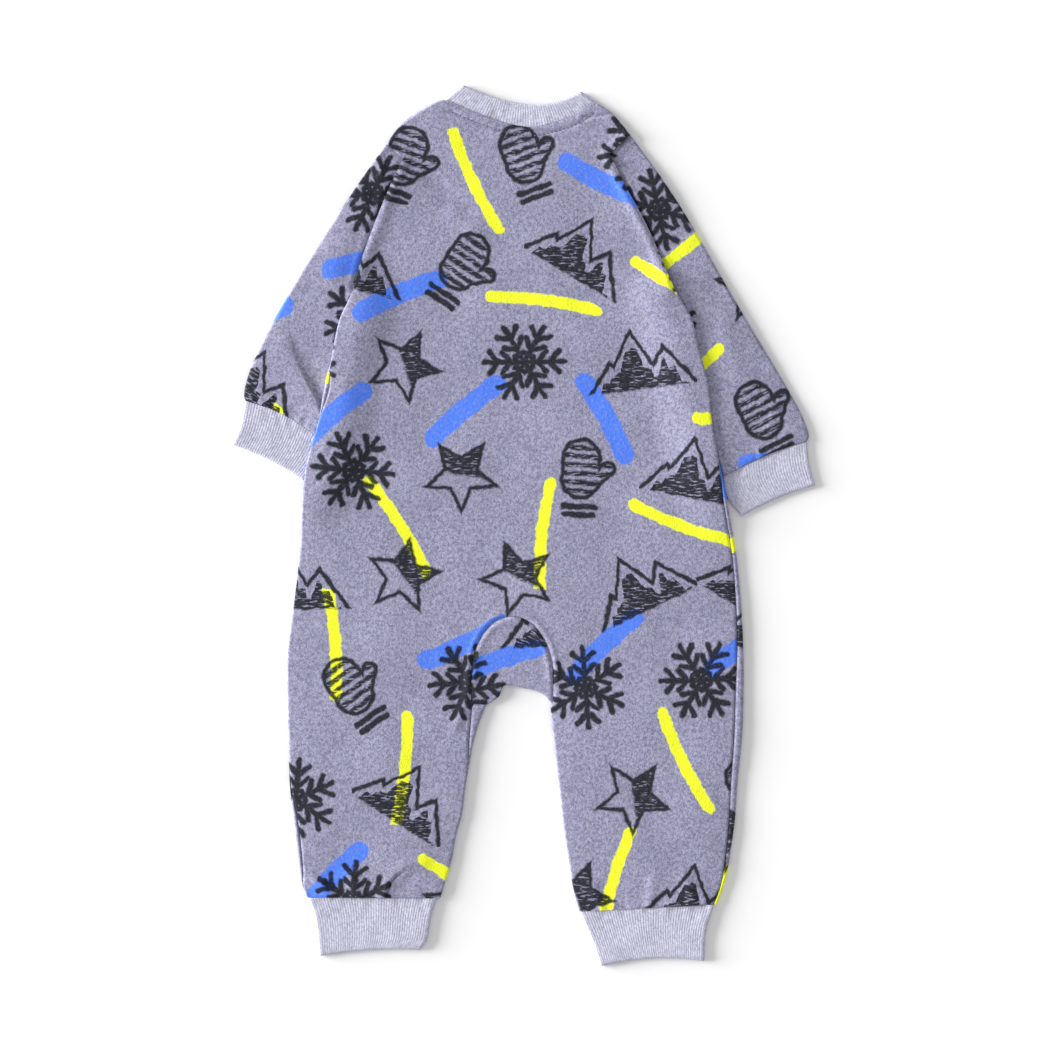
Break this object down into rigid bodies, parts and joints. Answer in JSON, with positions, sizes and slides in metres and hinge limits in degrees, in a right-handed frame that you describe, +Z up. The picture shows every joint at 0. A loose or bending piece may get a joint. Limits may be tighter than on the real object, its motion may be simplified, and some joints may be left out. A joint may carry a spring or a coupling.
{
  "type": "onesie pajama",
  "caption": "Long-sleeved footless baby coverall in brushed fleece, laid flat back up, with rib neck, cuffs and ankles and an arched crotch gusset.",
  "frame": {"origin": "centre of the garment's bounding box, on the surface that it lies on", "axes": "+X to the viewer's right, +Y from the ankles to the neck, +Z up out of the back panel"},
  "size_m": [0.4364, 0.66, 0.0084],
  "materials": {
    "fleece": "brushed heather grey fleece with a sketched print",
    "rib": "heather grey 1x1 rib knit"
  },
  "bodies": {
    "root": {"back_panel": "fleece", "front_left": "fleece", "front_right": "fleece", "crotch_gusset": "fleece", "sleeve_left": "fleece", "sleeve_right": "fleece", "cuff_left": "rib", "cuff_right": "rib", "ankle_left": "rib", "ankle_right": "rib", "collar_rib": "rib"}
  },
  "joints": []
}
